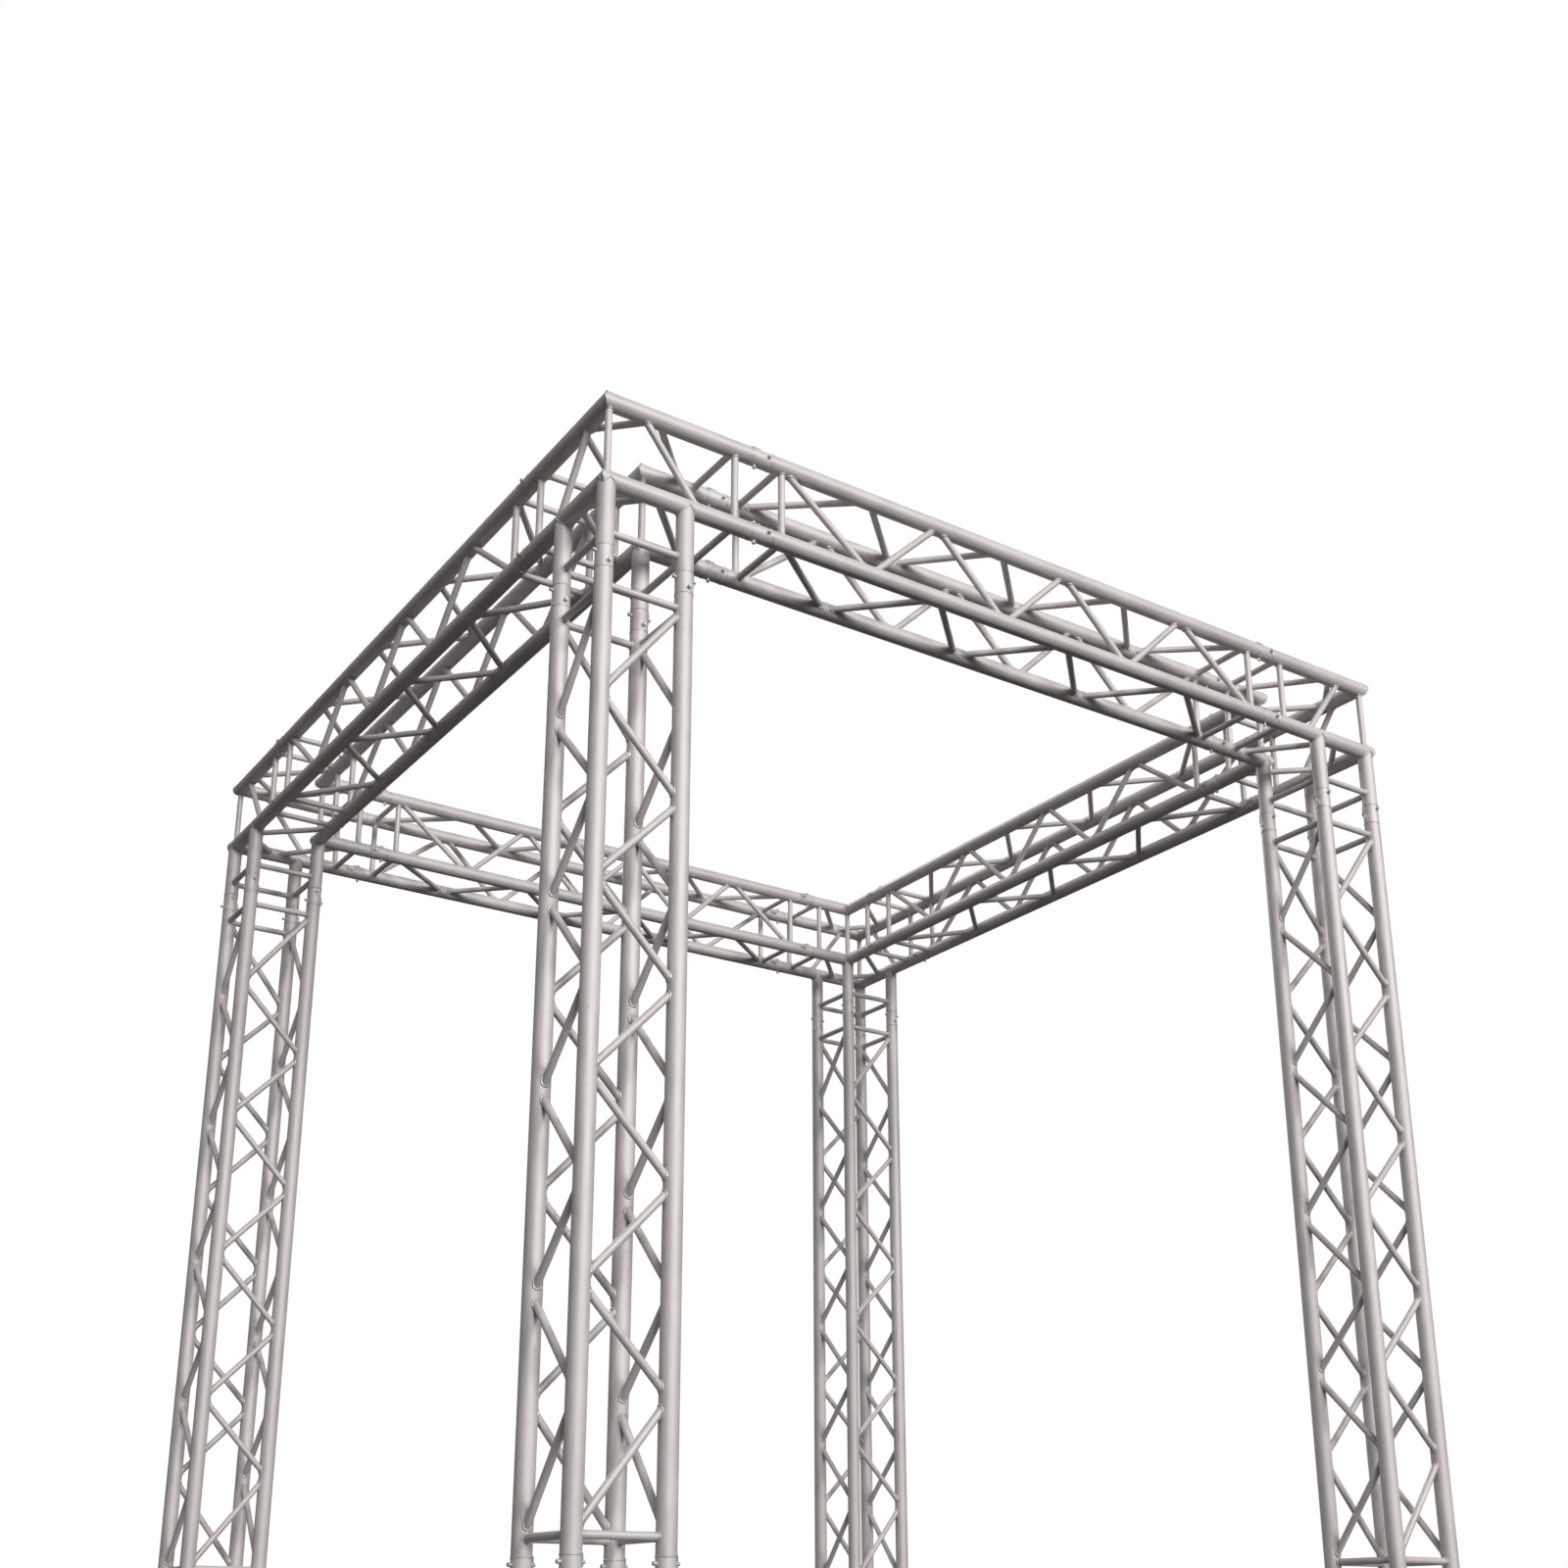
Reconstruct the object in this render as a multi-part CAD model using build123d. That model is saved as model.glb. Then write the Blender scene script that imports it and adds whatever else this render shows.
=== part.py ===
from build123d import *
import os

# Free-standing box-truss frame. Millimetres, +Z up, floor at z = 0, the frame's centre on the Z axis.
# Four legs, each a long section on a short foot section, carry corner blocks and a ring of beams.
# Sections meet end to end on double-cone couplers, held by taper pins that spring clips keep in place.
# The frame is the same seen from each of its four sides, so one quarter is built and then turned.

# ---- driving dimensions ----
CHORD_D = 50.0  # main tube of every section
CHORD_WALL = 2.0
SPACING = 240.0  # main tube centre to centre, both ways
BRACE_D = 20.0
BRACE_WALL = 2.0
BEAM_LENGTH = 2000.0  # joint face to joint face
LEG_LENGTH = 2500.0
FOOT_LENGTH = 500.0
BLOCK_SIZE = 500.0  # outer face to joint face along each of a corner block's three arms

# bracing
END_BRACE = 75.0  # a section's joint face to the centre of its cross braces
END_BAY = 305.0  # length of the first and the last zigzag bay
BAY = 248.0  # nearest length for the bays between them
BLOCK_END_BRACE = 80.0  # a block's joint face to the centre of its cross braces
CORNER_BRACE = 150.0  # corner to the ends of the 45 degree brace
FLAT_DIAGONAL = (150.0, 365.0)  # distances along an arm, on its outer tube and on its inner tube
SIDE_DIAGONAL = (100.0, 285.0)  # distances along an arm, on its upper tube and on its lower tube
ROOT_GAP = 0.4  # weld root between two main tubes that meet in a block

# end fittings
COLLAR = 32.0  # the part of a receiver that shows between its tube and the joint face
SPIGOT = 14.0  # the part of a receiver that is pressed into its tube
MOUTH_R = 16.0  # large end of the conical socket
SEAT_R = 12.5  # small end of the conical socket
SOCKET_DEPTH = 38.0
RECEIVER_BORE_R = 9.0
PIN_SETBACK = 17.0  # joint face to pin centre
PIN_HEAD_R = 5.0
PIN_TIP_R = 4.3
PIN_LENGTH = 70.0
PIN_EDGE = 0.8
CLIP_WIRE_R = 1.1
CLIP_HOLE_R = 1.4
CLIP_SETBACK = 5.0  # tip of a pin to the centre of its clip hole
CLIP_BEND_R = 3.0
CLIP_ROUTE = [(0, -11), (0, 19.5), (7, 19.5), (3.9, 7.5), (7.2, 0), (3.9, -7.5), (6.5, -12)]  # across, along

# base
PLATE_SIZE = 400.0
PLATE_T = 8.0
PLATE_CORNER_R = 25.0
PLATE_EDGE = 1.0
FIXING_SPACING = 340.0
FIXING_HOLE_R = 7.0
BOLT_R = 6.0
BOLT_HEAD_R = 12.0
BOLT_HEAD_RECESS = 0.3  # the countersunk head stops short of the plate's underside
BOLT_REACH = 12.0  # length of bolt inside the base cone
HEX_KEY_R = 4.6
HEX_KEY_DEPTH = 3.5

# ---- worked out from them ----
REACH = BLOCK_SIZE - CHORD_D / 2  # outer tube's centre line to a joint face, in a block
HALF = BEAM_LENGTH / 2 + REACH  # frame centre to the outer tubes
FOOT_TOP = PLATE_T + FOOT_LENGTH
LEG_TOP = FOOT_TOP + LEG_LENGTH
TOP_Z = LEG_TOP + REACH  # centre of the upper tubes
LOWER_Z = TOP_Z - SPACING  # centre of the lower tubes
CLIP_X = PIN_LENGTH / 2 - CLIP_SETBACK
BOLT_HEAD_DEPTH = BOLT_HEAD_R - BOLT_R  # a 90 degree countersink

Z_DIR = Vector(0, 0, 1)
SQUARE = [(0, 0), (SPACING, 0), (SPACING, SPACING), (0, SPACING)]  # a section's tubes, in bracing order
QUARTERS = 4
CORNERS = ["front_left", "front_right", "back_right", "back_left"]
SIDES = ["front", "right", "back", "left"]

# each frame's z = 0 is a joint face; the tubes of SQUARE run along its Z
LEG_FRAME = Pos(-HALF, -HALF, FOOT_TOP)
FOOT_FRAME = Pos(-HALF, -HALF, PLATE_T)
BLOCK_FRAME = Pos(-HALF, -HALF, TOP_Z)
BEAM_FRAME = Plane(origin=(REACH - HALF, -HALF, LOWER_Z), x_dir=(0, 1, 0), z_dir=(1, 0, 0)).location
LEG_TOP_FRAME = LEG_FRAME * Pos(0, 0, LEG_LENGTH)
BEAM_END_FRAME = BEAM_FRAME * Pos(0, 0, BEAM_LENGTH)


# ---- tubes and braces ----
def rod(start, end, radius):
    """A round bar from start to end."""
    run = Vector(end) - Vector(start)
    bar = Cylinder(radius, run.length, align=(Align.CENTER, Align.CENTER, Align.MIN))
    return Plane(origin=start, z_dir=run) * bar


def tube(start, end, outside_d, wall):
    return rod(start, end, outside_d / 2) - rod(start, end, outside_d / 2 - wall)


def main_tube_body(point, direction, grow=0.0):
    """The bar that a main tube through this point fills, for shaping whatever meets the tube."""
    reach = direction * (2 * SPACING)
    return rod(Vector(point) - reach, Vector(point) + reach, CHORD_D / 2 + grow)


def brace(start, end, bodies):
    """A brace between two main tubes' centre lines, its ends saddled to fit round the tubes."""
    solid = tube(start, end, BRACE_D, BRACE_WALL)
    for body in bodies:
        solid -= body
    return solid


def brace_along(start, end, direction):
    """A brace between two main tubes that both run along the given direction."""
    return brace(start, end, [main_tube_body(point, direction) for point in (start, end)])


# ---- one straight section, built upwards from its lower joint face ----
def section_chords(length):
    return [tube((x, y, COLLAR), (x, y, length - COLLAR), CHORD_D, CHORD_WALL) for x, y in SQUARE]


def zigzag_stations(length):
    """Distances along a section where its diagonals turn, from one cross brace to the other."""
    inner = length - 2 * (END_BRACE + END_BAY)
    if inner <= 0:
        return [END_BRACE, length - END_BRACE]
    bays = round(inner / BAY)
    turns = [END_BRACE + END_BAY + inner * i / bays for i in range(bays + 1)]
    return [END_BRACE] + turns + [length - END_BRACE]


def section_braces(length):
    """Each face has a cross brace at both ends and a zigzag that starts on the face's own tube."""
    stations = zigzag_stations(length)
    face = [brace_along((0, 0, z), (SPACING, 0, z), Z_DIR) for z in (END_BRACE, length - END_BRACE)]
    for bay, (low, high) in enumerate(zip(stations, stations[1:])):
        x_low, x_high = (0, SPACING) if bay % 2 == 0 else (SPACING, 0)
        face.append(brace_along((x_low, 0, low), (x_high, 0, high), Z_DIR))
    faces = []
    for turn, (x, y) in enumerate(SQUARE):
        faces += [Pos(x, y, 0) * Rot(0, 0, 90 * turn) * solid for solid in face]
    return faces


# ---- one corner block: arms along +X, +Y and down, origin where the two upper outer tubes' axes cross ----
def swapped(point, swap):
    """The point, or its mirror image across the block's diagonal plane."""
    x, y, z = point
    return Vector(y, x, z) if swap else Vector(x, y, z)


def arm_dir(swap):
    return swapped((1, 0, 0), swap)


def mitre_tool(swap, gap=0.0):
    """The half space beyond the block's diagonal plane, seen from the X arm, or from the Y arm if swapped."""
    size = 4 * BLOCK_SIZE
    side = -1 if swap else 1
    return Rot(0, 0, 45) * Pos(0, side * (size - gap) / 2, 0) * Box(size, size, size)


def arm_tube(corner, level, swap):
    """A main tube that starts with a mitre at a corner of the block and ends at the arm's receiver."""
    start = swapped((corner - CHORD_D, corner, level), swap)
    end = swapped((REACH - COLLAR, corner, level), swap)
    return tube(start, end, CHORD_D, CHORD_WALL) - mitre_tool(swap, ROOT_GAP)


def mitred_bodies(corner, level, grow=0.0):
    """The space that the two mitred tubes of one corner fill."""
    point = (corner, corner, level)
    return [main_tube_body(point, arm_dir(swap), grow) - mitre_tool(swap) for swap in (False, True)]


def block_chords():
    low = -SPACING
    tubes = []
    for swap in (False, True):
        tubes += [arm_tube(corner, level, swap) for corner in (0, SPACING) for level in (0, low)]
    for x, y in SQUARE:
        drop = tube((x, y, low), (x, y, COLLAR - REACH), CHORD_D, CHORD_WALL)
        if x == y:
            bodies = mitred_bodies(x, low, ROOT_GAP)
        else:
            bodies = [main_tube_body((x, y, low), arm_dir(swap=y > x), ROOT_GAP)]
        for body in bodies:
            drop -= body
        tubes.append(drop)
    return tubes


def arm_braces(swap):
    """Braces of one level arm: diagonals above, below and outside, and four cross braces at its end."""
    low = -SPACING
    end = REACH - BLOCK_END_BRACE
    outer, inner = FLAT_DIAGONAL
    upper, lower = SIDE_DIAGONAL
    runs = [((outer, 0, level), (inner, SPACING, level)) for level in (0, low)]
    runs.append(((upper, 0, 0), (lower, 0, low)))
    runs += [((end, 0, level), (end, SPACING, level)) for level in (0, low)]
    runs += [((end, across, 0), (end, across, low)) for across in (0, SPACING)]
    return [brace_along(swapped(start, swap), swapped(stop, swap), arm_dir(swap)) for start, stop in runs]


def block_braces():
    low = -SPACING
    braces = arm_braces(False) + arm_braces(True)
    for corner in (0, SPACING):
        bodies = mitred_bodies(corner, 0) + mitred_bodies(corner, low)
        braces.append(brace((corner, corner, 0), (corner, corner, low), bodies))
    for level in (0, low):
        start, stop = (CORNER_BRACE, 0, level), (0, CORNER_BRACE, level)
        braces.append(brace(start, stop, mitred_bodies(0, level)))
    end_z = BLOCK_END_BRACE - REACH
    for (x1, y1), (x2, y2) in zip(SQUARE, SQUARE[1:] + SQUARE[:1]):
        braces.append(brace_along((x1, y1, end_z), (x2, y2, end_z), Z_DIR))
    return braces


# ---- end fittings, built about a joint face at z = 0 ----
def taper():
    """The tapered body of a pin, along X."""
    return Rot(0, 90, 0) * Cone(PIN_HEAD_R, PIN_TIP_R, PIN_LENGTH)


def socket_cone():
    """The cone that fills the receiver below a joint face."""
    return Pos(0, 0, -SOCKET_DEPTH / 2) * Cone(SEAT_R, MOUTH_R, SOCKET_DEPTH)


UPPER_SIDE = Rot(180, 0, 0)  # turns a fitting below the joint face to the one above it
LOWER_PIN = Pos(0, 0, -PIN_SETBACK) * Rot(0, 0, 90)  # the pins of a joint are at right angles
UPPER_PIN = Pos(0, 0, PIN_SETBACK)


def receiver(side, pin_place):
    """A turned socket: a collar flush with the main tube, a spigot inside the tube, a bore and a pin hole."""
    collar = Pos(0, 0, -COLLAR / 2) * Cylinder(CHORD_D / 2, COLLAR)
    spigot = Pos(0, 0, -COLLAR - SPIGOT / 2) * Cylinder(CHORD_D / 2 - CHORD_WALL, SPIGOT)
    bore = Pos(0, 0, -(COLLAR + SPIGOT) / 2) * Cylinder(RECEIVER_BORE_R, COLLAR + SPIGOT)
    return side * (collar + spigot - socket_cone() - bore) - pin_place * taper()


def coupler():
    """A double cone that fills the receivers on both sides of a joint."""
    return socket_cone() + UPPER_SIDE * socket_cone() - LOWER_PIN * taper() - UPPER_PIN * taper()


def taper_pin():
    """A taper pin along X with eased ends and a cross hole for its clip."""
    body = taper()
    body = chamfer(body.edges().filter_by(GeomType.CIRCLE), PIN_EDGE)
    return body - Pos(CLIP_X, 0, 0) * Cylinder(CLIP_HOLE_R, 4 * PIN_HEAD_R)


def spring_clip():
    """A wire clip: a straight leg through the pin, a loop, and a second leg that bows round the pin."""
    route = FilletPolyline(*[(CLIP_X, across, along) for across, along in CLIP_ROUTE], radius=CLIP_BEND_R)
    wire = Plane(origin=route @ 0, z_dir=route % 0) * Circle(CLIP_WIRE_R)
    return sweep(wire, path=route)


def lower_receiver():
    return receiver(Rot(0, 0, 0), LOWER_PIN)


def upper_receiver():
    return receiver(UPPER_SIDE, UPPER_PIN)


# ---- base: a plate under each foot, with a cone in each tube ----
def base_cone():
    """Half a coupler, bolted down to the plate."""
    bolt_hole = Cylinder(BOLT_R, BOLT_REACH, align=(Align.CENTER, Align.CENTER, Align.MIN))
    return UPPER_SIDE * socket_cone() - UPPER_PIN * taper() - bolt_hole


def bolt_body():
    """A countersunk bolt, its head's face at the underside of the plate."""
    bottom = BOLT_HEAD_RECESS - PLATE_T
    head = Cone(BOLT_HEAD_R, BOLT_R, BOLT_HEAD_DEPTH, align=(Align.CENTER, Align.CENTER, Align.MIN))
    shank = Cylinder(BOLT_R, BOLT_REACH - bottom, align=(Align.CENTER, Align.CENTER, Align.MIN))
    return Pos(0, 0, bottom) * (head + shank)


def base_bolt():
    """The bolt with its hexagon socket."""
    key = extrude(RegularPolygon(HEX_KEY_R, 6), HEX_KEY_DEPTH)
    return bolt_body() - Pos(0, 0, BOLT_HEAD_RECESS - PLATE_T) * key


def base_plate():
    """A flat plate, drilled for the bolts under the tubes and for floor fixings near its corners."""
    outline = RectangleRounded(PLATE_SIZE, PLATE_SIZE, PLATE_CORNER_R)
    plate = extrude(outline, PLATE_T)
    plate = chamfer(plate.edges().group_by(Axis.Z)[-1], PLATE_EDGE)
    plate = Pos(SPACING / 2, SPACING / 2, -PLATE_T) * plate
    clearance = Cylinder(BOLT_HEAD_R, BOLT_HEAD_RECESS, align=(Align.CENTER, Align.CENTER, Align.MIN))
    for x, y in SQUARE:
        plate -= Pos(x, y, 0) * bolt_body()
        plate -= Pos(x, y, -PLATE_T) * clearance
    for fixing in GridLocations(FIXING_SPACING, FIXING_SPACING, 2, 2):
        plate -= Pos(SPACING / 2, SPACING / 2, 0) * fixing * Cylinder(FIXING_HOLE_R, 3 * PLATE_T)
    return plate


# ---- putting it together ----
def at_tubes(frame, solid):
    """Copies of one fitting at the four tubes of a joint."""
    return [frame * Pos(x, y, 0) * solid for x, y in SQUARE]


def turned(solids, quarter):
    return [Rot(0, 0, 90 * quarter) * solid for solid in solids]


def all_quarters(solids):
    return [solid for quarter in range(QUARTERS) for solid in turned(solids, quarter)]


def write(name, solids):
    """One STEP file that holds the pieces as separate solids."""
    pieces = [piece for solid in solids for piece in solid.solids()]
    export_step(Compound(label=name, children=pieces), f"parts/{name}.step")


def write_straight_sections(kind, names, frame, length):
    chords = [frame * solid for solid in section_chords(length)]
    braces = [frame * solid for solid in section_braces(length)]
    far_end = frame * Pos(0, 0, length)
    receivers = at_tubes(frame, upper_receiver()) + at_tubes(far_end, lower_receiver())
    for quarter, name in enumerate(names):
        write(f"{name}_{kind}_chords", turned(chords, quarter))
        write(f"{name}_{kind}_braces", turned(braces, quarter))
        write(f"{name}_{kind}_receivers", turned(receivers, quarter))


def write_corner_blocks():
    chords = [BLOCK_FRAME * solid for solid in block_chords()]
    braces = [BLOCK_FRAME * solid for solid in block_braces()]
    # the block is below the joint at the start of one beam, and above the joints at the leg's top and at
    # the end of the beam a quarter turn back
    receivers = at_tubes(BEAM_FRAME, lower_receiver()) + at_tubes(LEG_TOP_FRAME, upper_receiver())
    receivers += turned(at_tubes(BEAM_END_FRAME, upper_receiver()), QUARTERS - 1)
    for quarter, name in enumerate(CORNERS):
        write(f"{name}_corner_chords", turned(chords, quarter))
        write(f"{name}_corner_braces", turned(braces, quarter))
        write(f"{name}_corner_receivers", turned(receivers, quarter))


def write_fasteners(kind, joint_frames, single_pin_frames=()):
    """The couplers, pins and clips of a kind of joint, all round the frame."""
    couplers, pins, clips = [], [], []
    for frame in joint_frames:
        couplers += at_tubes(frame, coupler())
        for place in (LOWER_PIN, UPPER_PIN):
            pins += at_tubes(frame, place * taper_pin())
            clips += at_tubes(frame, place * spring_clip())
    for frame in single_pin_frames:
        pins += at_tubes(frame, UPPER_PIN * taper_pin())
        clips += at_tubes(frame, UPPER_PIN * spring_clip())
    write(f"{kind}_couplers", all_quarters(couplers))
    write(f"{kind}_taper_pins", all_quarters(pins))
    write(f"{kind}_spring_clips", all_quarters(clips))


def write_bases():
    plate = FOOT_FRAME * base_plate()
    for quarter, name in enumerate(CORNERS):
        write(f"{name}_base_plate", turned([plate], quarter))
    write("base_cones", all_quarters(at_tubes(FOOT_FRAME, base_cone())))
    write("base_bolts", all_quarters(at_tubes(FOOT_FRAME, base_bolt())))


os.makedirs("parts", exist_ok=True)
write_straight_sections("beam", SIDES, BEAM_FRAME, BEAM_LENGTH)
write_straight_sections("leg", CORNERS, LEG_FRAME, LEG_LENGTH)
write_straight_sections("foot", CORNERS, FOOT_FRAME, FOOT_LENGTH)
write_corner_blocks()
write_fasteners("beam", [BEAM_FRAME, BEAM_END_FRAME])
write_fasteners("leg", [LEG_TOP_FRAME, LEG_FRAME], single_pin_frames=[FOOT_FRAME])
write_bases()
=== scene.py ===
import math

import bpy
from mathutils import Matrix, Vector


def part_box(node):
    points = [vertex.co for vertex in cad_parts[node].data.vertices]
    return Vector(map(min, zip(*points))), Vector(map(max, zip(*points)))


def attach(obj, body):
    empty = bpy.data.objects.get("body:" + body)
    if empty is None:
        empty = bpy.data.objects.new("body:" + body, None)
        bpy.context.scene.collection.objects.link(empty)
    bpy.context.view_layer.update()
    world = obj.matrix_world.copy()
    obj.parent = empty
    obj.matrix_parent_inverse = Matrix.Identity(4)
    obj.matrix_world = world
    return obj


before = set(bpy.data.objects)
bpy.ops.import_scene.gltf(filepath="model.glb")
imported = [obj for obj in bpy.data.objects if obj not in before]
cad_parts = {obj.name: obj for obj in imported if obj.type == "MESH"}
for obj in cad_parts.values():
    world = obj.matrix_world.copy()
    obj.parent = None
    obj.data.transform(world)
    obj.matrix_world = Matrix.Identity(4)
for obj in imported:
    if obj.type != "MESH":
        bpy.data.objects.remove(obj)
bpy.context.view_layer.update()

# Free-standing box-truss frame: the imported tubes, fittings and plates get their finishes here, and every
# weld is modelled as a rippled bead. Metres, +Z up, floor at z = 0.

# ---- the tubes' own dimensions, which place the weld beads ----
CHORD_R = 0.025
BRACE_R = 0.010
SPACING = 0.240
END_BRACE = 0.075
END_BAY = 0.305
BAY = 0.248
BLOCK_SIZE = 0.500
BLOCK_END_BRACE = 0.080
CORNER_BRACE = 0.150
FLAT_DIAGONAL = (0.150, 0.365)
SIDE_DIAGONAL = (0.100, 0.285)
COLLAR = 0.032
SQUARE = [(0, 0), (SPACING, 0), (SPACING, SPACING), (0, SPACING)]
CORNERS = ["front_left", "front_right", "back_right", "back_left"]
SIDES = ["front", "right", "back", "left"]

# ---- weld beads ----
BRACE_BEAD = 0.0030
SEAM_BEAD = 0.0022
RIPPLE_PITCH = 0.0052
RIPPLE_DEPTH = 0.16
RING_SINK = 0.45  # how far the middle of a ring's bead lies under the tube's surface, in bead radii
MITRE_SINK = 0.30
BEAD_SIDES = 7

# ---- camera ----
EYE = Vector((-3.490, -5.328, 0.373))
HEADING = math.radians(56.37)
TILT = math.radians(18.47)
FOCAL = 43.94
SENSOR = 36.0
SHIFT = (0.002, 0.1354)

# ---- light: each lamp is a name, its place, what it points at, its power in watts and its colour ----
SKY_ABOVE = 0.25
SKY_BELOW = 0.055
SKY_BLEND = (-0.20, 0.30)  # heights of the view direction between which the sky brightens
LAMP_SIZE = 6.0
WARM_WHITE = (1.0, 0.985, 0.975)
COOL_WHITE = (0.985, 0.99, 1.0)
LAMPS = [
    ("key_right", (5.5, -22.2, 9.6), (0, 0, 2.2), 2250, WARM_WHITE),
    ("key_left", (-7.0, -21.7, 9.6), (0, 0, 2.2), 2250, WARM_WHITE),
    ("back", (1.2, 13.9, 11.8), (0, 0, 2.0), 1400, COOL_WHITE),
]

# ---- floor ----
FLOOR_HALF = 60.0
FLOOR_GLOW = 0.10  # near the frame; it rises to 1 over GLOW_REACH, so the floor meets the sky softly
GLOW_REACH = (3.0, 24.0)


# ---- node helpers for materials ----
class Shader:
    """A material's node tree with short helpers; numbers that hold all over are set on the sockets."""

    def __init__(self, name, metallic, specular=0.5):
        self.material = bpy.data.materials.new(name)
        self.material.use_nodes = True
        self.tree = self.material.node_tree
        self.tree.nodes.clear()
        self.surface = self.node("ShaderNodeBsdfPrincipled")
        self.surface.inputs["Metallic"].default_value = metallic
        self.surface.inputs["Specular IOR Level"].default_value = specular
        output = self.node("ShaderNodeOutputMaterial")
        self.link(self.surface.outputs["BSDF"], output.inputs["Surface"])
        self.place = self.node("ShaderNodeTexCoord").outputs["Object"]

    def node(self, kind, **settings):
        made = self.tree.nodes.new(kind)
        for key, value in settings.items():
            setattr(made, key, value)
        return made

    def link(self, source, target):
        self.tree.links.new(source, target)

    def noise(self, scale, detail=3.0, roughness=0.5, stretch=(1, 1, 1)):
        """Noise of the given cells per metre, drawn out where stretch is under one."""
        mapping = self.node("ShaderNodeMapping")
        mapping.inputs["Scale"].default_value = stretch
        self.link(self.place, mapping.inputs["Vector"])
        made = self.node("ShaderNodeTexNoise")
        made.inputs["Scale"].default_value = scale
        made.inputs["Detail"].default_value = detail
        made.inputs["Roughness"].default_value = roughness
        self.link(mapping.outputs["Vector"], made.inputs["Vector"])
        return made.outputs["Fac"]

    def ramp(self, source, low, high, low_value, high_value):
        """Maps low..high of the source to low_value..high_value."""
        made = self.node("ShaderNodeMapRange")
        made.inputs["From Min"].default_value = low
        made.inputs["From Max"].default_value = high
        made.inputs["To Min"].default_value = low_value
        made.inputs["To Max"].default_value = high_value
        self.link(source, made.inputs["Value"])
        return made.outputs["Result"]

    def mix(self, factor, first, second):
        """A colour mix; first and second are colours or sockets."""
        made = self.node("ShaderNodeMix", data_type="RGBA")
        self.link(factor, made.inputs[0])
        for value, socket in ((first, made.inputs[6]), (second, made.inputs[7])):
            if isinstance(value, tuple):
                socket.default_value = (*value, 1.0)
            else:
                self.link(value, socket)
        return made.outputs[2]

    def crevice(self, reach):
        """One in a crevice and nought on open surface, from how much of the space within reach is filled; it
        places the painted crevice shade on the tubes.
        """
        made = self.node("ShaderNodeAmbientOcclusion", samples=4)
        made.inputs["Distance"].default_value = reach
        return self.ramp(made.outputs["AO"], 0.35, 0.92, 1.0, 0.0)

    def combine(self, operation, first, second):
        """The sum, product or the like of two sockets."""
        made = self.node("ShaderNodeMath", operation=operation)
        self.link(first, made.inputs[0])
        self.link(second, made.inputs[1])
        return made.outputs[0]

    def bump(self, height, distance, under=None):
        """Bumps as high as the given distance, on top of those that an earlier bump made."""
        made = self.node("ShaderNodeBump")
        made.inputs["Distance"].default_value = distance
        self.link(height, made.inputs["Height"])
        if under is not None:
            self.link(under, made.inputs["Normal"])
        return made.outputs["Normal"]

    def finish(self, colour, roughness, normal):
        self.link(colour, self.surface.inputs["Base Color"])
        self.link(roughness, self.surface.inputs["Roughness"])
        self.link(normal, self.surface.inputs["Normal"])
        return self.material


def drawn_tube(name, along, light, dark):
    """Mill-finish tube: die lines along one axis, or none, cloudy oxide, scuffs, and soot by the welds mixed
    with painted shade in the crevices.
    """
    shader = Shader(name, TUBE_METALLIC)
    stretch = tuple(0.03 if axis == along else 1.0 for axis in range(3))
    lines = shader.noise(420, 2.0, 0.6, stretch)
    clouds = shader.noise(6.5, 4.0, 0.6)
    grain = shader.noise(1500, 1.0, 0.5)
    scuffs = shader.noise(70, 5.0, 0.72, stretch=(1.0, 1.6, 1.0))
    line_tone = shader.ramp(lines, 0.35, 0.65, 0.0, 0.4)
    cloud_tone = shader.ramp(clouds, 0.36, 0.64, 0.0, 0.6)
    tone = shader.combine("ADD", line_tone, cloud_tone)
    colour = shader.mix(tone, dark, light)
    rubbed = shader.ramp(scuffs, 0.60, 0.70, 0.0, 0.6)
    colour = shader.mix(rubbed, colour, tuple(0.70 * channel for channel in dark))
    # painted shade: the ambient-occlusion mask darkens the tube in the crevices at the brace ends and welds,
    # broken up by the scuff noise; the same dark also stands for the soot by the welds
    soot = shader.combine("MULTIPLY", shader.crevice(0.022), shader.ramp(scuffs, 0.35, 0.6, 0.35, 1.0))
    colour = shader.mix(soot, colour, SOOT_AND_CREVICE_SHADE)
    roughness = shader.ramp(clouds, 0.25, 0.75, 0.50, 0.68)
    normal = shader.bump(lines, 0.00004)
    normal = shader.bump(grain, 0.00002, under=normal)
    return shader.finish(colour, roughness, normal)


def turned_metal(name, light, dark, roughness, metallic):
    """A machined face: fine tool marks and slight staining."""
    shader = Shader(name, metallic)
    marks = shader.noise(900, 2.0, 0.6)
    stains = shader.noise(22, 3.0, 0.6)
    colour = shader.mix(shader.ramp(stains, 0.3, 0.7, 0.0, 1.0), dark, light)
    rough = shader.ramp(marks, 0.3, 0.7, roughness - 0.06, roughness + 0.08)
    normal = shader.bump(marks, 0.00002)
    return shader.finish(colour, rough, normal)


def weld_metal(name):
    """Bright weld with a sooty edge in places."""
    shader = Shader(name, 0.55)
    soot = shader.noise(60, 3.0, 0.6)
    grain = shader.noise(700, 2.0, 0.5)
    colour = shader.mix(shader.ramp(soot, 0.35, 0.75, 0.0, 1.0), (0.74, 0.72, 0.70), (0.52, 0.50, 0.48))
    rough = shader.ramp(grain, 0.3, 0.7, 0.34, 0.5)
    return shader.finish(colour, rough, shader.bump(grain, 0.00008))


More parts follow.
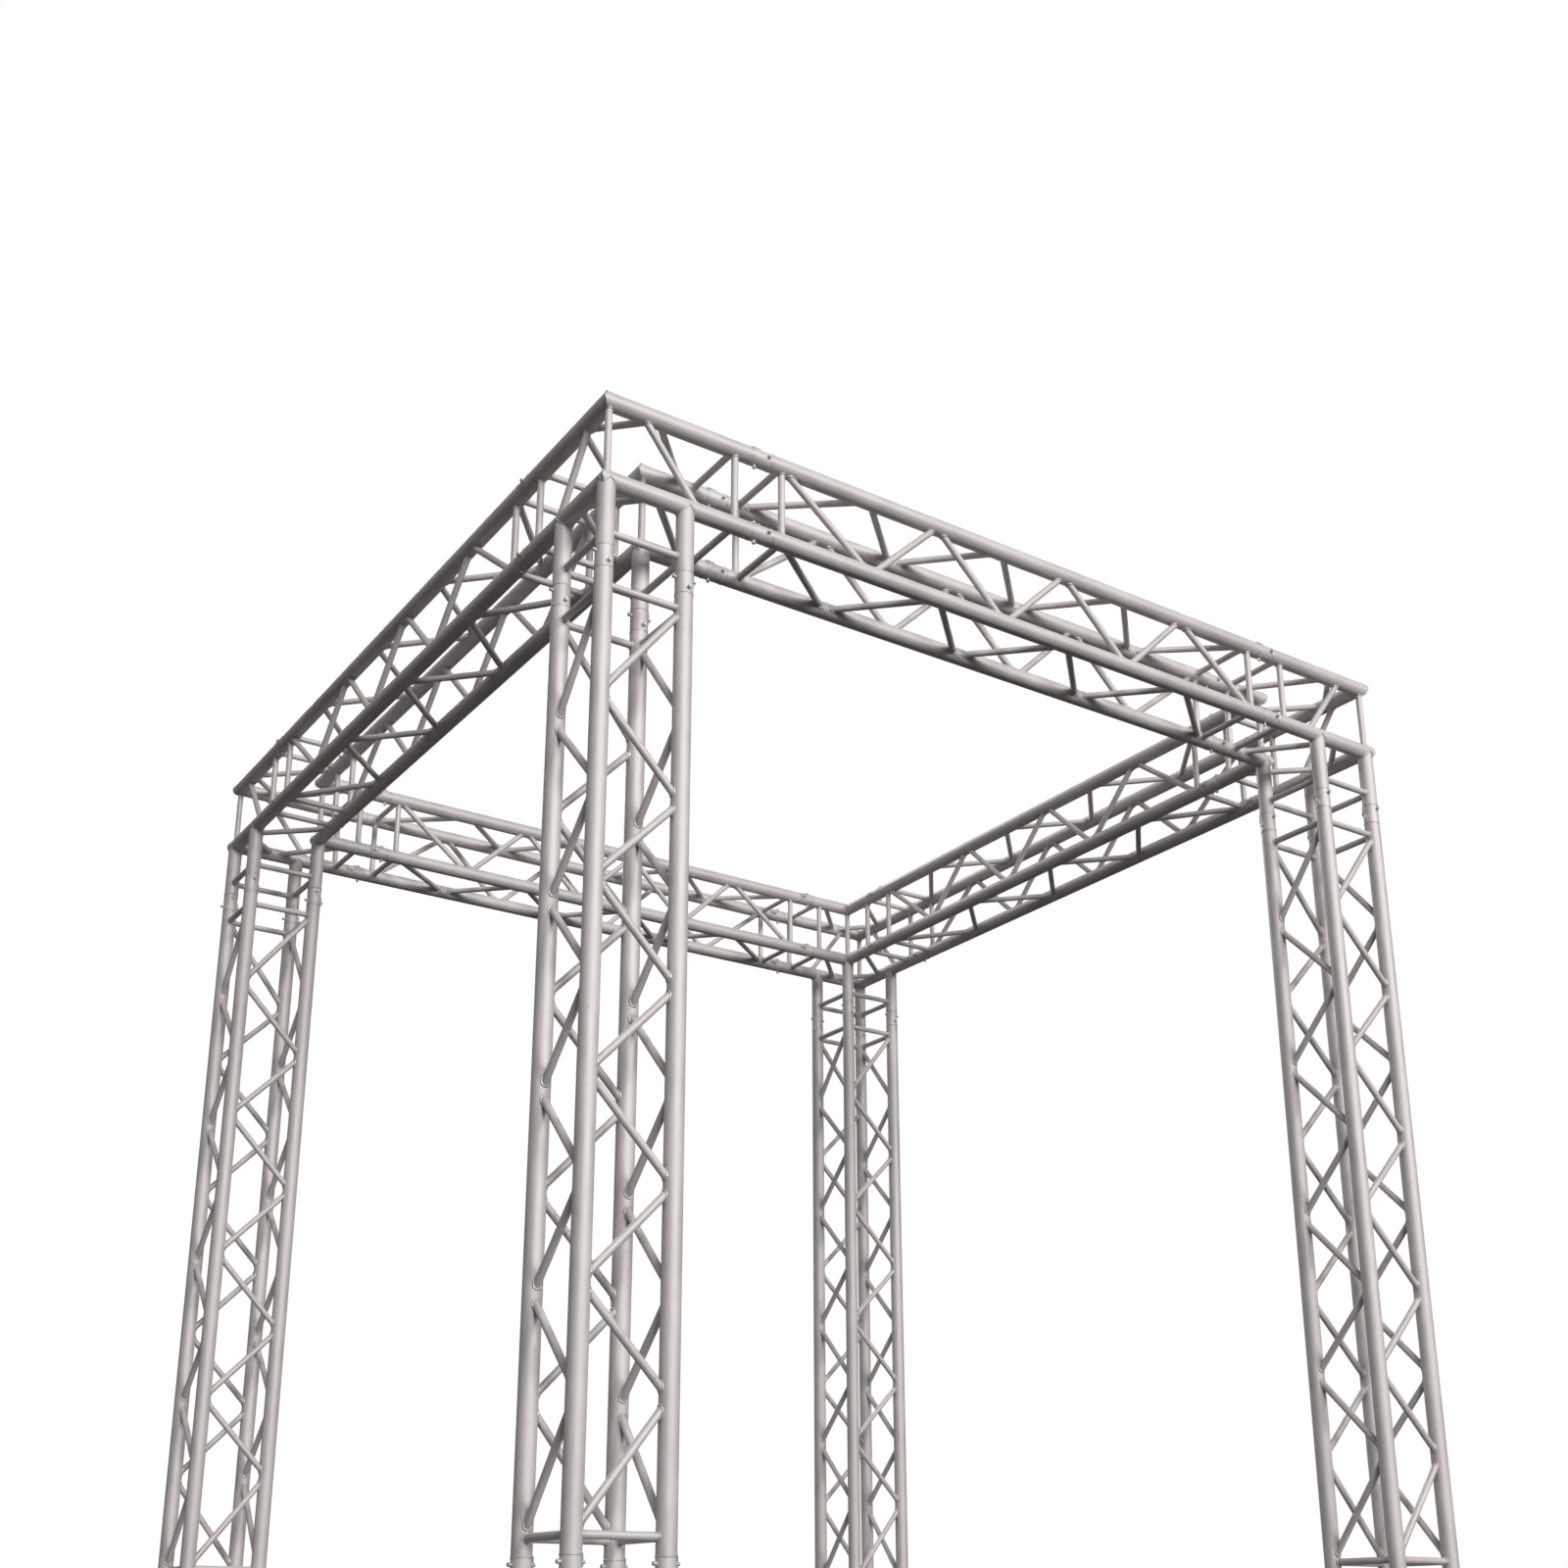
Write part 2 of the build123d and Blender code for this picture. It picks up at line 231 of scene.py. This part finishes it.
def rolled_plate(name):
    """Floor plate: rolling grain, boot scuffs and ground-in dirt."""
    shader = Shader(name, 0.6)
    grain = shader.noise(260, 2.0, 0.6, (0.04, 1.0, 1.0))
    dirt = shader.noise(16, 5.0, 0.65)
    scratches = shader.noise(130, 4.0, 0.8, (1.0, 0.05, 1.0))
    colour = shader.mix(shader.ramp(grain, 0.3, 0.7, 0.0, 1.0), (0.60, 0.59, 0.57), (0.68, 0.67, 0.65))
    colour = shader.mix(shader.ramp(dirt, 0.5, 0.75, 0.0, 0.7), colour, (0.36, 0.34, 0.32))
    colour = shader.mix(shader.ramp(scratches, 0.66, 0.70, 0.0, 0.7), colour, (0.80, 0.80, 0.79))
    rough = shader.ramp(dirt, 0.3, 0.7, 0.36, 0.62)
    normal = shader.bump(scratches, 0.00006, under=shader.bump(grain, 0.00004))
    return shader.finish(colour, rough, normal)


TUBE_LIGHT = (0.77, 0.738, 0.73)
TUBE_DARK = (0.61, 0.580, 0.573)
TUBE_METALLIC = 0.25
# the dark of the weld soot and of the painted shade in the tubes' crevices
SOOT_AND_CREVICE_SHADE = (0.30, 0.285, 0.27)
TUBES = [drawn_tube(f"tube_along_{axis}", i, TUBE_LIGHT, TUBE_DARK) for i, axis in enumerate("xyz")]
BRACE_FINISH = drawn_tube("brace_tube", None, TUBE_LIGHT, TUBE_DARK)
FITTING = turned_metal("receiver_metal", (0.76, 0.73, 0.72), (0.63, 0.60, 0.595), 0.57, 0.25)
COUPLER = turned_metal("coupler_metal", (0.72, 0.72, 0.72), (0.60, 0.60, 0.60), 0.30, 0.9)
ZINC = turned_metal("zinc_steel", (0.66, 0.65, 0.645), (0.53, 0.52, 0.52), 0.50, 0.5)
CLIP = turned_metal("clip_wire", (0.66, 0.66, 0.68), (0.50, 0.50, 0.53), 0.28, 0.95)
WELD = weld_metal("weld_metal")
PLATE = rolled_plate("plate_metal")


def finish_nodes():
    """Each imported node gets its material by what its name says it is."""
    for name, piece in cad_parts.items():
        if name.endswith("_beam_chords"):
            material = TUBES[0] if name.startswith(("front", "back")) else TUBES[1]
        elif name.endswith(("_leg_chords", "_foot_chords")):
            material = TUBES[2]
        elif name.endswith(("_chords", "_braces")):
            material = BRACE_FINISH
        elif name.endswith("_receivers"):
            material = FITTING
        elif name.endswith(("_couplers", "_cones")):
            material = COUPLER
        elif name.endswith("_clips"):
            material = CLIP
        elif name.endswith("_plate"):
            material = PLATE
        else:
            material = ZINC
        for place in piece.material_slots:
            place.material = material


# ---- weld beads ----
class Beads:
    """Collects closed beads and makes one mesh of them."""

    def __init__(self):
        self.points = []
        self.faces = []

    def add(self, loop, outward, radius, place):
        """A rippled closed bead along a loop of points; outward gives the way it bulges at each point."""
        count = len(loop)
        base = len(self.points)
        length = sum((loop[i] - loop[i - 1]).length for i in range(count))
        ripples = max(6, round(length / RIPPLE_PITCH))
        for i in range(count):
            along = (loop[(i + 1) % count] - loop[i - 1]).normalized()
            up = (outward[i] - along * outward[i].dot(along)).normalized()
            side = along.cross(up)
            size = radius * (1 + RIPPLE_DEPTH * math.sin(math.tau * ripples * i / count))
            for k in range(BEAD_SIDES):
                angle = math.tau * k / BEAD_SIDES
                offset = up * math.cos(angle) + side * math.sin(angle)
                self.points.append(place @ (loop[i] + offset * size))
        for i in range(count):
            row, after = base + i * BEAD_SIDES, base + ((i + 1) % count) * BEAD_SIDES
            for k in range(BEAD_SIDES):
                nxt = (k + 1) % BEAD_SIDES
                self.faces.append((row + k, after + k, after + nxt, row + nxt))

    def build(self, name):
        mesh = bpy.data.meshes.new(name)
        mesh.from_pydata([tuple(p) for p in self.points], [], self.faces)
        mesh.update()
        for polygon in mesh.polygons:
            polygon.use_smooth = True
        piece = bpy.data.objects.new(name, mesh)
        bpy.context.scene.collection.objects.link(piece)
        mesh.materials.append(WELD)
        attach(piece, "root")


def saddle(beads, start, towards, direction, place, steps=40):
    """The bead where a brace from start, on a main tube's centre line, leaves the tube."""
    start, towards, direction = Vector(start), Vector(towards), Vector(direction)
    axis = (towards - start).normalized()
    first = axis.orthogonal().normalized()
    second = axis.cross(first)
    flat_axis = axis - direction * axis.dot(direction)
    loop, outward = [], []
    for i in range(steps):
        angle = math.tau * i / steps
        radial = first * math.cos(angle) + second * math.sin(angle)
        across = radial * BRACE_R
        flat = across - direction * across.dot(direction)
        half = flat_axis.dot(flat)
        reach = half * half - flat_axis.length_squared * (flat.length_squared - CHORD_R**2)
        distance = (math.sqrt(reach) - half) / flat_axis.length_squared
        point = across + axis * distance
        from_tube = (point - direction * point.dot(direction)).normalized()
        loop.append(start + point)
        outward.append((radial + from_tube).normalized())
    beads.add(loop, outward, BRACE_BEAD, place)


def brace_beads(beads, start, end, directions, place):
    """Both ends' beads of a brace; directions are those of the main tubes at its start and at its end."""
    saddle(beads, start, end, directions[0], place)
    saddle(beads, end, start, directions[1], place)


def ring(beads, centre, place, steps=90):
    """The flat seam bead round a main tube at its collar, which runs along Z."""
    angles = [math.tau * i / steps for i in range(steps)]
    spokes = [Vector((math.cos(angle), math.sin(angle), 0)) for angle in angles]
    loop = [Vector(centre) + spoke * (CHORD_R - RING_SINK * SEAM_BEAD) for spoke in spokes]
    beads.add(loop, spokes, SEAM_BEAD, place)


def zigzag_stations(length):
    """Distances along a section where its diagonals turn, from one cross brace to the other."""
    inner = length - 2 * (END_BRACE + END_BAY)
    if inner <= 0:
        return [END_BRACE, length - END_BRACE]
    bays = round(inner / BAY)
    turns = [END_BRACE + END_BAY + inner * i / bays for i in range(bays + 1)]
    return [END_BRACE] + turns + [length - END_BRACE]


def section_beads(name, place, length):
    """All the welds of one straight section, whose tubes run along Z of the given place."""
    beads = Beads()
    up = Vector((0, 0, 1))
    stations = zigzag_stations(length)
    runs = [((0, 0, z), (SPACING, 0, z)) for z in (END_BRACE, length - END_BRACE)]
    for bay, (low, high) in enumerate(zip(stations, stations[1:])):
        x_low, x_high = (0, SPACING) if bay % 2 == 0 else (SPACING, 0)
        runs.append(((x_low, 0, low), (x_high, 0, high)))
    for quarter, (x, y) in enumerate(SQUARE):
        face = place @ Matrix.Translation((x, y, 0)) @ Matrix.Rotation(quarter * math.tau / 4, 4, "Z")
        for start, end in runs:
            brace_beads(beads, start, end, (up, up), face)
        for z in (COLLAR, length - COLLAR):
            ring(beads, (x, y, z), place)
    beads.build(name)


def mirrored(point, swap):
    x, y, z = point
    return Vector((y, x, z)) if swap else Vector((x, y, z))


def corner_loops(beads, corner, place, steps=96):
    """The welds of the mitres at a corner of a block, one at each level."""
    for level in (0, -SPACING):
        loop, outward = [], []
        for i in range(steps):
            angle = math.tau * i / steps
            spoke = Vector((math.cos(angle), math.cos(angle), math.sin(angle)))
            loop.append(Vector((corner, corner, level)) + spoke * (CHORD_R - MITRE_SINK * SEAM_BEAD))
            outward.append(spoke.normalized())
        beads.add(loop, outward, SEAM_BEAD, place)


def drop_loop(beads, x, y, place, steps=96):
    """The weld round the top of a tube that hangs from the lower level of a block."""
    loop, outward = [], []
    for i in range(steps):
        angle = math.tau * (i + 0.5) / steps
        spoke = Vector((math.cos(angle), math.sin(angle), 0))
        along_x = spoke.x > spoke.y if x == y else y < x
        across = spoke.y if along_x else spoke.x
        depth = CHORD_R * math.sqrt(1 - across * across)
        point = spoke * CHORD_R + Vector((0, 0, -depth))
        down_normal = Vector((0, across, -math.sqrt(1 - across * across)))
        if not along_x:
            down_normal = Vector((across, 0, down_normal.z))
        loop.append(Vector((x, y, -SPACING)) + point)
        outward.append((spoke + down_normal).normalized())
    beads.add(loop, outward, BRACE_BEAD, place)


def block_beads(name, place, arm_places):
    """All the welds of one corner block; place has its origin where the upper outer tubes' axes cross."""
    beads = Beads()
    low = -SPACING
    end = BLOCK_SIZE - CHORD_R - BLOCK_END_BRACE
    outer, inner = FLAT_DIAGONAL
    upper, lower = SIDE_DIAGONAL
    for swap in (False, True):
        runs = [((outer, 0, level), (inner, SPACING, level)) for level in (0, low)]
        runs.append(((upper, 0, 0), (lower, 0, low)))
        runs += [((end, 0, level), (end, SPACING, level)) for level in (0, low)]
        runs += [((end, across, 0), (end, across, low)) for across in (0, SPACING)]
        direction = mirrored((1, 0, 0), swap)
        for start, stop in runs:
            brace_beads(beads, mirrored(start, swap), mirrored(stop, swap), (direction, direction), place)
    x_dir, y_dir, z_dir = Vector((1, 0, 0)), Vector((0, 1, 0)), Vector((0, 0, 1))
    for level in (0, low):
        brace_beads(beads, (CORNER_BRACE, 0, level), (0, CORNER_BRACE, level), (x_dir, y_dir), place)
    for (x1, y1), (x2, y2) in zip(SQUARE, SQUARE[1:] + SQUARE[:1]):
        brace_beads(beads, (x1, y1, -end), (x2, y2, -end), (z_dir, z_dir), place)
    for corner in (0, SPACING):
        brace_beads(beads, (corner, corner, 0), (corner, corner, low), (x_dir, x_dir), place)
        corner_loops(beads, corner, place)
    for x, y in SQUARE:
        drop_loop(beads, x, y, place)
        for arm in arm_places:
            ring(beads, (x, y, 0), arm)
    beads.build(name)


def weld_everything():
    """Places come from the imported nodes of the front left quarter; the other quarters are turned copies."""
    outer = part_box("front_left_leg_chords")[0]
    axis_x, axis_y = outer.x + CHORD_R, outer.y + CHORD_R
    foot_low, foot_high = (corner.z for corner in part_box("front_left_foot_receivers"))
    leg_low, leg_high = (corner.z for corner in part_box("front_left_leg_receivers"))
    beam_low, beam_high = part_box("front_beam_receivers")
    top = beam_high.z - CHORD_R
    # a beam's tubes run along X: its local X is the frame's Y, its local Y is up
    beam_turn = Matrix(((0, 0, 1, 0), (1, 0, 0, 0), (0, 1, 0, 0), (0, 0, 0, 1)))
    for quarter, (corner, side) in enumerate(zip(CORNERS, SIDES)):
        turn = Matrix.Rotation(quarter * math.tau / 4, 4, "Z")
        beam = Matrix.Translation((beam_low.x, axis_y, top - SPACING)) @ beam_turn
        beam_length = beam_high.x - beam_low.x
        section_beads(f"{side}_beam_welds", turn @ beam, beam_length)
        leg = Matrix.Translation((axis_x, axis_y, leg_low))
        section_beads(f"{corner}_leg_welds", turn @ leg, leg_high - leg_low)
        foot = Matrix.Translation((axis_x, axis_y, foot_low))
        section_beads(f"{corner}_foot_welds", turn @ foot, foot_high - foot_low)
        block = Matrix.Translation((axis_x, axis_y, top))
        back_turn = Matrix.Rotation(-math.tau / 4, 4, "Z")
        arms = [
            turn @ beam @ Matrix.Translation((0, 0, -COLLAR)),
            turn @ back_turn @ beam @ Matrix.Translation((0, 0, beam_length + COLLAR)),
            turn @ leg @ Matrix.Translation((0, 0, leg_high - leg_low + COLLAR)),
        ]
        block_beads(f"{corner}_corner_welds", turn @ block, arms)


# ---- floor, light and camera ----
def floor():
    """A pale matt floor that glows more the farther it is from the frame, and so meets the sky softly."""
    corners = [(FLOOR_HALF * x, FLOOR_HALF * y, 0) for x, y in ((-1, -1), (1, -1), (1, 1), (-1, 1))]
    mesh = bpy.data.meshes.new("floor")
    mesh.from_pydata(corners, [], [(0, 1, 2, 3)])
    piece = bpy.data.objects.new("floor", mesh)
    bpy.context.scene.collection.objects.link(piece)
    shader = Shader("floor_pale", 0.0, 0.0)
    mottle = shader.noise(0.8, 3.0, 0.5)
    colour = shader.mix(mottle, (0.78, 0.78, 0.78), (0.82, 0.82, 0.82))
    fine = shader.noise(40, 2.0, 0.5)
    shader.surface.inputs["Emission Color"].default_value = (1.0, 1.0, 1.0, 1.0)
    distance = shader.node("ShaderNodeVectorMath", operation="LENGTH")
    shader.link(shader.place, distance.inputs[0])
    glow = shader.ramp(distance.outputs["Value"], *GLOW_REACH, FLOOR_GLOW, 1.0)
    shader.link(glow, shader.surface.inputs["Emission Strength"])
    rough = shader.ramp(fine, 0.3, 0.7, 0.9, 1.0)
    mesh.materials.append(shader.finish(colour, rough, shader.bump(fine, 0.0002)))
    # the floor throws no light back, so the frame's undersides stay dark
    piece.visible_diffuse = False
    piece.visible_glossy = False


def area_light(name, place, target, power, colour):
    data = bpy.data.lights.new(name, "AREA")
    data.shape = "DISK"
    data.size = LAMP_SIZE
    data.energy = power
    data.color = colour
    lamp = bpy.data.objects.new(name, data)
    bpy.context.scene.collection.objects.link(lamp)
    lamp.location = place
    lamp.rotation_euler = (Vector(target) - Vector(place)).to_track_quat("-Z", "Y").to_euler()


def studio():
    """Two soft low keys in front, a lamp high behind, and a sky that is dim below the horizon."""
    for lamp in LAMPS:
        area_light(*lamp)
    world = bpy.data.worlds.new("studio")
    bpy.context.scene.world = world
    world.use_nodes = True
    tree = world.node_tree
    tree.nodes.clear()
    place = tree.nodes.new("ShaderNodeTexCoord")
    split = tree.nodes.new("ShaderNodeSeparateXYZ")
    tree.links.new(place.outputs["Generated"], split.inputs[0])
    height = tree.nodes.new("ShaderNodeMapRange")
    height.inputs["From Min"].default_value = SKY_BLEND[0]
    height.inputs["From Max"].default_value = SKY_BLEND[1]
    height.inputs["To Min"].default_value = SKY_BELOW
    height.inputs["To Max"].default_value = SKY_ABOVE
    tree.links.new(split.outputs["Z"], height.inputs["Value"])
    ambient = tree.nodes.new("ShaderNodeBackground")
    ambient.inputs["Color"].default_value = (1.0, 0.98, 0.97, 1.0)
    tree.links.new(height.outputs["Result"], ambient.inputs["Strength"])
    seen = tree.nodes.new("ShaderNodeBackground")
    seen.inputs["Color"].default_value = (1.0, 1.0, 1.0, 1.0)
    path = tree.nodes.new("ShaderNodeLightPath")
    choose = tree.nodes.new("ShaderNodeMixShader")
    output = tree.nodes.new("ShaderNodeOutputWorld")
    tree.links.new(path.outputs["Is Camera Ray"], choose.inputs[0])
    tree.links.new(ambient.outputs[0], choose.inputs[1])
    tree.links.new(seen.outputs[0], choose.inputs[2])
    tree.links.new(choose.outputs[0], output.inputs["Surface"])


def camera():
    """A camera near the floor, in front of the near corner and looking up."""
    data = bpy.data.cameras.new("camera")
    data.lens = FOCAL
    data.sensor_width = SENSOR
    data.shift_x, data.shift_y = SHIFT
    data.clip_end = 200.0
    eye = bpy.data.objects.new("camera", data)
    bpy.context.scene.collection.objects.link(eye)
    eye.location = EYE
    gaze = Vector((math.cos(TILT) * math.cos(HEADING), math.cos(TILT) * math.sin(HEADING), math.sin(TILT)))
    eye.rotation_euler = gaze.to_track_quat("-Z", "Y").to_euler()
    bpy.context.scene.camera = eye


camera()
studio()
floor()
finish_nodes()
weld_everything()
bpy.context.scene.view_settings.view_transform = "Standard"
